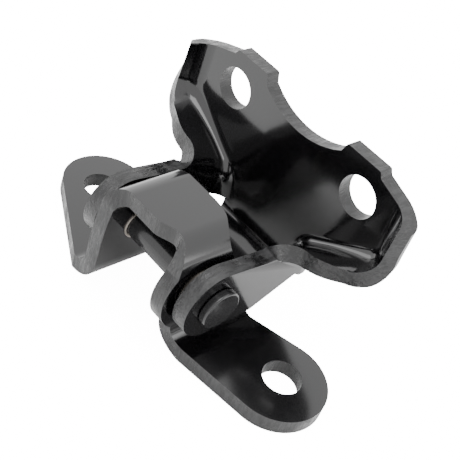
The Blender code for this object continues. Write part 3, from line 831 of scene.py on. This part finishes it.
# %% Ear and wall
def ear_flat(side):
    top_angle = tangent_angle(EAR_TOP, (0, 0), BOSS_R, 1)
    bottom_angle = tangent_angle(EAR_BOTTOM, (0, 0), BOSS_R, -1) + 2 * math.pi
    outline = [EAR_TOP] + arc((0, 0), BOSS_R, top_angle, bottom_angle) + [EAR_BOTTOM]
    ear, corner = wall_edge(side)[:2]
    return [Vector((EAR_IN, y, z)) for y, z in outline] + ear + corner[1:STEPS // 2 + 1]


def wall_row(place, outward, end, radius):
    """Points from the plate round the fold to the edge of the wall."""
    begin = place - outward * radius
    start = Vector((begin.x, PLATE_Y, begin.y))
    knee = Vector((place.x, PLATE_Y, place.y))
    wall = end - knee
    fillet_end = knee + wall.normalized() * radius
    points = []
    for i in range(STEPS // 2 + 1):
        angle = math.pi / STEPS * i
        points.append(start + (knee - start) * math.sin(angle) + (fillet_end - knee) * (1 - math.cos(angle)))
    return points + [fillet_end.lerp(end, i / WALL_STEPS) for i in range(1, WALL_STEPS + 1)]


def fold_radius(i, count):
    """The fold is round beside the ear and tighter out along the wing."""
    return ease(FOLD_R, WING_FOLD_R, clamp((i / count - TIGHTEN_FROM) / TIGHTEN_OVER))


print("ear outline:", len(ear_flat(1)), "places")

# %% [markdown]
# The drawn face is put together from both walls, the flat of the dish, and the lip that turns forward under
# the pin. The dish is one face bounded by the folds, with a relief cut where each ear starts to bend.

# %% Walls, dish and lip
def add_walls(bm, fold, radii):
    for side in (1, -1):
        edge = joined_parts(wall_edge(side))
        rows = []
        for (place, outward), end, radius in zip(fold, edge, radii):
            row = wall_row(place, outward, end, radius)
            rows.append([bm.verts.new((side * p.x, p.y, p.z)) for p in row])
        for first, then in zip(rows, rows[1:]):
            for j in range(len(first) - 1):
                bm.faces.new((first[j], first[j + 1], then[j + 1], then[j]))
        bm.faces.new([bm.verts.new((side * p.x, p.y, p.z)) for p in ear_flat(side)])


def add_dish(bm, flat_side):
    tongue, notch = TONGUE_HALF, flat_side[0].x
    plate = [(tongue, LIP_Z), (tongue, EAR_FOOT_Z - RELIEF), (notch, EAR_FOOT_Z - RELIEF)]
    plate += [(place.x, place.y) for place in flat_side]
    plate += [(-x, z) for x, z in reversed(plate)]
    bm.faces.new([bm.verts.new((x, PLATE_Y, z)) for x, z in plate])


def add_lip(bm):
    tongue, lip_y = TONGUE_HALF, PLATE_Y - LIP_R
    steps = [math.pi / 2 * j / STEPS for j in range(STEPS + 1)]
    bend = [(PLATE_Y - LIP_R * (1 - math.cos(a)), LIP_Z - LIP_R * math.sin(a)) for a in steps]
    for (y, z), (next_y, next_z) in zip(bend, bend[1:]):
        corners = ((-tongue, y, z), (tongue, y, z), (tongue, next_y, next_z), (-tongue, next_y, next_z))
        bm.faces.new([bm.verts.new(corner) for corner in corners])
    lip = round_corners([
        (-tongue, lip_y, 0),
        (-tongue, lip_y - LIP_FLAT, LIP_CORNER_R),
        (tongue, lip_y - LIP_FLAT, LIP_CORNER_R),
        (tongue, lip_y, 0),
    ])
    bm.faces.new([bm.verts.new((x, y, LIP_Z - LIP_R)) for x, y in lip])


print(f"dish, lip and walls are welded within {1000 * WELD:.2f} mm")

# %% [markdown]
# The wing tips stand forward by about one sheet thickness, too short a flange to turn cleanly. The press
# squeezes them: the edge slants back instead of standing square to the sheet. `squeezed_tip` turns the way
# through the sheet toward the back as a point nears the tip's free edge.

# %% Squeezed wing tips
SQUEEZE_Z = 14.0 * MM
SQUEEZE_OVER_Z = 10.0 * MM
SQUEEZE_X = 42.4 * MM
SQUEEZE_OVER_X = 2.0 * MM
SQUEEZED_OUT = 0.52
SQUEEZED_BACK = 0.62


def squeezed_tip(point, way):
    up = clamp((point.z - SQUEEZE_Z) / SQUEEZE_OVER_Z)
    out = clamp((abs(point.x) - SQUEEZE_X) / SQUEEZE_OVER_X)
    folded = point.y < PLATE_Y - OVER
    side = 1 if point.x > 0 else -1
    return way.lerp(Vector((side * SQUEEZED_OUT, SQUEEZED_BACK, 0)), up * out * folded)


print(f"tips are squeezed from {1000 * SQUEEZE_Z:.1f} mm above the pin")

# %% [markdown]
# The top of the leaf is trimmed after the folds, so that tabs, hollow and wing tips line up. The hollow
# between the tabs is one arc. A tab on each side keeps steel above its bolt hole.

# %% The trimmed top
NOTCH_HALF = 15.8 * MM
NOTCH_BOTTOM_Z = 31.6 * MM
NOTCH_SIDE_Z = 36.6 * MM
TAB_TOP_Z = 39.8 * MM
TAB_OUTER_X = 29.6 * MM
TAB_LEAN = 1.0 * MM
TAB_STEP = 1.8 * MM
TAB_CORNER_R = 0.7 * MM
SHOULDER_Z = 31.8 * MM
SHOULDER_R = 6.0 * MM
SHOULDER_DROP = 12.0 * MM


def trim_outline():
    sag = NOTCH_SIDE_Z - NOTCH_BOTTOM_Z
    notch_r = (NOTCH_HALF ** 2 + sag ** 2) / (2 * sag)
    spread = math.asin(NOTCH_HALF / notch_r)
    down = -math.pi / 2
    hollow = arc((0, NOTCH_BOTTOM_Z + notch_r), notch_r, down - spread, down + spread)
    outer_x = WING_EDGE_X + SHEET
    low_z = SHOULDER_Z - SHOULDER_DROP
    side = [
        (NOTCH_HALF + TAB_LEAN, TAB_TOP_Z, TAB_CORNER_R),
        (TAB_OUTER_X, TAB_TOP_Z, TAB_CORNER_R),
        (TAB_OUTER_X + TAB_LEAN, TAB_TOP_Z - TAB_STEP, TAB_CORNER_R),
        (outer_x, SHOULDER_Z, SHOULDER_R),
        (outer_x + OVER, low_z, 0),
        (BIG, low_z, 0),
        (BIG, BIG, 0),
    ]
    mirrored = [(-x, z, radius) for x, z, radius in reversed(side)]
    return round_corners(mirrored + [(x, z, 0) for x, z in hollow] + side)


print("trimmed top:", len(trim_outline()), "places")

# %% [markdown]
# The pieces of the face are welded and its front is turned forward. Then it goes the way of the strap:
# sheet, trim, bolt holes, and one pin hole bored through both ears at once.

# %% Making the plate leaf
def plate_leaf():
    bm = bmesh.new()
    fold = joined_parts(fold_path())
    radii = [fold_radius(i, len(fold)) for i in range(len(fold))]
    add_walls(bm, fold, radii)
    add_dish(bm, [place - outward * r for (place, outward), r in zip(fold, radii)])
    add_lip(bm)
    bmesh.ops.remove_doubles(bm, verts=bm.verts, dist=WELD)
    bmesh.ops.recalc_face_normals(bm, faces=bm.faces)
    if max(bm.faces, key=lambda face: face.calc_area()).normal.y > 0:
        bmesh.ops.reverse_faces(bm, faces=bm.faces)
    for polygon in bm.faces:
        polygon.smooth = True
    obj = add_object("plate_leaf", bm)
    store_through(obj, squeezed_tip)
    make_sheet(obj, BODY_EDGE)
    cutters = [cut(obj, prism("top_trim", trim_outline(), "Y", 0, BIG), BODY_EDGE)]
    for side in (-1, 1):
        place = (side * PLATE_HOLE_X, PLATE_HOLE_Z)
        through_plate = (PLATE_Y - OVER, PLATE_BACK_Y + OVER)
        bolt_hole = rod(f"plate_hole_{side}", PLATE_HOLE_R, "Y", place, *through_plate)
        cutters.append(cut(obj, bolt_hole, BODY_EDGE))
    pin_hole = rod("pin_hole", BUSH_BORE_R, "X", (0, 0), -EAR_OUT - OVER, EAR_OUT + OVER)
    cutters.append(cut(obj, pin_hole, BODY_EDGE))
    soften(obj, EDGE_ROUND)
    return finished(obj, cutters)


plate = plate_leaf()

# %% [markdown]
# ## Pin and bushes
#
# The pin is cold headed: a flat head with a rolled rim outside the right ear. After assembly its other end
# is spun over outside the left ear. It is drawn as half a section and turned about its axis.

# %% The pin
HEAD_R = 6.3 * MM
HEAD_THICK = 2.3 * MM
HEAD_RIM = 0.6 * MM
HEAD_FLAT_SHARE = 0.45
TAIL_R = 5.7 * MM
TAIL_THICK = 1.8 * MM
TAIL_RIM = 0.9 * MM
TAIL_FLAT_R = 1.2 * MM
RIM_STEPS = 8
PIN_EDGE = 0.12 * MM
ROUND_ANGLE = 50


def rim(face, radius, roll, toward):
    """Rolled rim of a round end, from its widest ring to its face; toward is the way the face looks."""
    angles = [math.pi / 2 * i / RIM_STEPS for i in range(RIM_STEPS + 1)]
    return [(face - toward * roll * (1 - math.sin(a)), radius - roll * (1 - math.cos(a))) for a in angles]


def round_piece(name, profile, metal, edge):
    obj = turned(name, profile)
    for polygon in obj.data.polygons:
        polygon.use_smooth = True
    obj.data.materials.append(metal)
    soften(obj, edge, ROUND_ANGLE, 2)
    return finished(obj)


def pin():
    seat = EAR_OUT + SIDE_GAP
    head = seat + HEAD_THICK
    tail = -seat - TAIL_THICK
    profile = [(tail, 0.0), (tail, TAIL_FLAT_R)] + rim(tail, TAIL_R, TAIL_RIM, -1)[::-1]
    profile += [(-seat, TAIL_R), (-seat, PIN_R), (seat, PIN_R), (seat, HEAD_R)]
    profile += rim(head, HEAD_R, HEAD_RIM, 1) + [(head, HEAD_R * HEAD_FLAT_SHARE), (head, 0.0)]
    return round_piece("hinge_pin_shown", profile, PIN_STEEL, PIN_EDGE)


hinge_pin = pin()

# %% [markdown]
# A bush stands in each leg, with its flange between leg and ear. It is a thin tube, so the pin runs on
# bearing metal and the leaves never rub on each other.

# %% The bushes
BUSH_EDGE = 0.1 * MM


def bush(name, side):
    inner = LEG_IN - BUSH_STAND_IN
    under = LEG_OUT + SIDE_GAP
    outer = under + FLANGE_THICK
    profile = [
        (inner, BUSH_BORE_R),
        (inner, BUSH_R),
        (under, BUSH_R),
        (under, FLANGE_R),
        (outer, FLANGE_R),
        (outer, BUSH_BORE_R),
        (inner, BUSH_BORE_R),
    ]
    return round_piece(name, [(side * x, r) for x, r in profile], BUSH_METAL, BUSH_EDGE)


left_bush, right_bush = bush("bush_left_shown", -1), bush("bush_right_shown", 1)

# %% [markdown]
# ## Joining the looks to the solid model
#
# Strap and bushes stay with the door, plate and pin turn together. Each shown piece rides on its body and
# takes the place of one solid. The two bushes are alike and share one finish.

# %% Bodies and solids
for obj, body, node, finish_slot in (
    (strap, "strap", "strap_bracket", "strap_e_coat"),
    (plate, "plate", "body_bracket", "body_e_coat"),
    (hinge_pin, "plate", "hinge_pin", "pin_steel"),
    (left_bush, "strap", "bush_left", "bush_metal"),
    (right_bush, "strap", "bush_right", "bush_metal"),
):
    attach(obj, body)
    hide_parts(node)
    print(f"{obj.name} rides on {body} and replaces {node}")

# %% [markdown]
# ## Studio
#
# The hinge lies on a flat white floor in an evenly white room. Black gloss has almost no colour of its own,
# so what it shows is the room, and itself wherever one leaf stands in the other's reflection.

# %% The room
ROOM_LIGHT = 2.6
world = bpy.data.worlds.new("white_room")
bpy.context.scene.world = world
world.use_nodes = True
world.node_tree.nodes["Background"].inputs["Color"].default_value = (1, 1, 1, 1)
world.node_tree.nodes["Background"].inputs["Strength"].default_value = ROOM_LIGHT
print("room light:", ROOM_LIGHT)

# %% [markdown]
# The floor glows, but only for the camera. Seen straight on it is pure white, while the parts reflect it as
# a plain white floor. The glow is a field like any other, so it goes in as a colour.

# %% The floor
FLOOR_GLOW = 14.0
FLOOR_SIZE = 3.0
FLOOR_CLEAR = 0.02 * MM


def add_floor():
    bm = bmesh.new()
    bmesh.ops.create_grid(bm, x_segments=1, y_segments=1, size=FLOOR_SIZE)
    obj = add_object("studio_floor", bm)
    obj.location.z = -FLOOR_CLEAR
    material = bpy.data.materials.new("studio_white")
    material.use_nodes = True
    shader = material.node_tree.nodes["Principled BSDF"]
    shader.inputs["Base Color"].default_value = (0.95, 0.95, 0.95, 1)
    shader.inputs["Roughness"].default_value = 0.9
    shader.inputs["Specular IOR Level"].default_value = 0.0
    tree = material.node_tree
    shader.inputs["Emission Strength"].default_value = 1.0
    seen = Socket(tree, tree.nodes.new("ShaderNodeLightPath").outputs["Is Camera Ray"])
    feed(shader, "Emission Color", seen * FLOOR_GLOW)
    obj.data.materials.append(material)
    return obj


print("floor:", add_floor().name)

# %% [markdown]
# Three soft boxes add broad highlights over the even room: one above, and one low on each side.

# %% Soft boxes
def softbox(name, place, aim, size, power):
    data = bpy.data.lights.new(name, "AREA")
    data.shape = "RECTANGLE"
    data.size, data.size_y = size
    data.energy = power
    obj = bpy.data.objects.new(name, data)
    bpy.context.scene.collection.objects.link(obj)
    obj.location = place
    direction = Vector(aim) - Vector(place)
    obj.rotation_euler = direction.to_track_quat("-Z", "Y").to_euler()
    return obj


MIDDLE = (0, 0, 0.02)
softbox("top_box", (0.1, -0.1, 0.7), MIDDLE, (0.4, 0.4), 3.0)
softbox("left_box", (-0.7, -0.2, 0.45), MIDDLE, (0.3, 0.5), 1.5)
softbox("right_box", (0.65, 0.35, 0.4), MIDDLE, (0.25, 0.5), 1.5)

# %% [markdown]
# ## Camera
#
# The camera stands a little over a quarter of a metre away, above the hinge and off its headed end, so
# that the web, the dish of the plate and the pin's head all show. Its place is measured from the pin axis.

# %% The camera
CAMERA_PLACE = Vector((127.09, -158.61, 181.36)) * MM
LOOKING_ALONG = Vector((-0.4373, 0.6386, -0.6332)).normalized()
PICTURE_RIGHT = Vector((0.6368, 0.7170, 0.2834)).normalized()


def add_camera():
    data = bpy.data.cameras.new("camera")
    data.sensor_width = 36.0
    data.lens = 75.67
    data.clip_start = 0.01
    obj = bpy.data.objects.new("camera", data)
    bpy.context.scene.collection.objects.link(obj)
    up = PICTURE_RIGHT.cross(LOOKING_ALONG).normalized()
    across = LOOKING_ALONG.cross(up).normalized()
    turn = Matrix((across, up, -LOOKING_ALONG)).transposed().to_4x4()
    obj.matrix_world = Matrix.Translation(AXIS + CAMERA_PLACE) @ turn
    return obj


bpy.context.scene.camera = add_camera()
print(f"camera {1000 * CAMERA_PLACE.length:.0f} mm from the middle of the pin axis")
